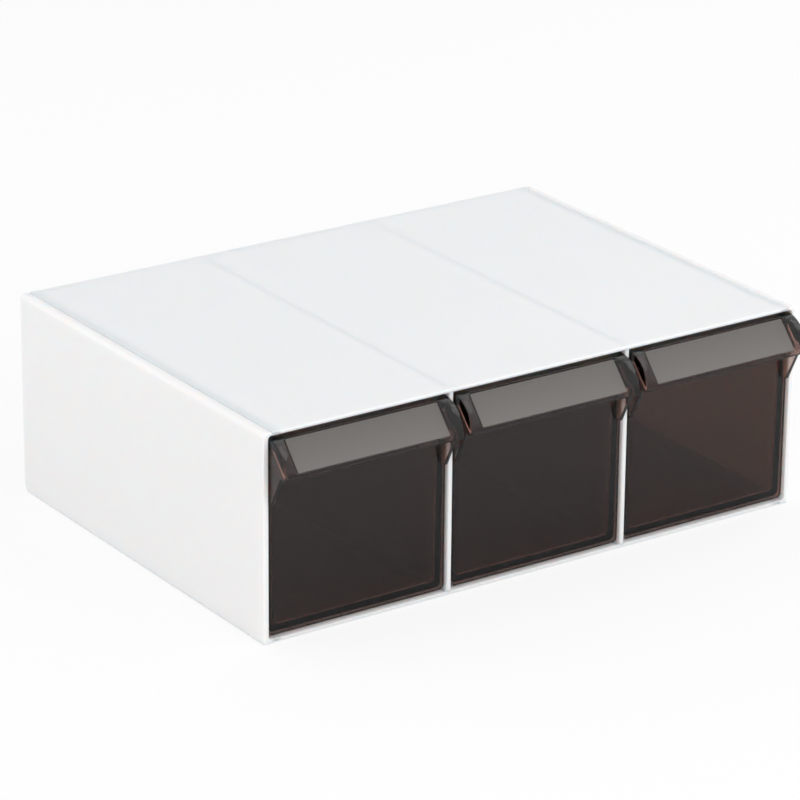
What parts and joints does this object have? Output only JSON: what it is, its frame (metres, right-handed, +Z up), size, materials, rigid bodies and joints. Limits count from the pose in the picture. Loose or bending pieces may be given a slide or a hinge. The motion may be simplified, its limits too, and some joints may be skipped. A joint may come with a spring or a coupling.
{
  "type": "desktop drawer organizer",
  "caption": "Low wide white desktop case with side-by-side smoky clear drawers, each with a hooded finger pull and a flat label plate across its top.",
  "frame": {"origin": "on the table under the middle of the whole object with its drawers shut", "axes": "+X across the width, drawer fronts face -Y, +Z up"},
  "size_m": [0.26, 0.197, 0.088],
  "materials": {
    "case_white": "white moulded plastic with a soft sheen",
    "smoke_clear": "polished smoky clear plastic",
    "label_frost": "fine frosted grey plastic",
    "foot_rubber": "matte translucent grey rubber"
  },
  "bodies": {
    "case": {"left_side_panel": "case_white", "right_side_panel": "case_white", "top_panel": "case_white", "bottom_panel": "case_white", "back_panel": "case_white", "left_divider": "case_white", "right_divider": "case_white", "front_left_foot": "foot_rubber", "front_right_foot": "foot_rubber", "rear_left_foot": "foot_rubber", "rear_right_foot": "foot_rubber"},
    "left_slider": {"left_drawer": "smoke_clear", "left_label_plate": "label_frost"},
    "middle_slider": {"middle_drawer": "smoke_clear", "middle_label_plate": "label_frost"},
    "right_slider": {"right_drawer": "smoke_clear", "right_label_plate": "label_frost"}
  },
  "joints": [
    {"name": "left_drawer_slide", "type": "slide", "parent": "case", "child": "left_slider", "axis": [0, -1, 0], "range_m": [0, 0.1419]},
    {"name": "middle_drawer_slide", "type": "slide", "parent": "case", "child": "middle_slider", "axis": [0, -1, 0], "range_m": [0, 0.1419]},
    {"name": "right_drawer_slide", "type": "slide", "parent": "case", "child": "right_slider", "axis": [0, -1, 0], "range_m": [0, 0.1419]}
  ]
}
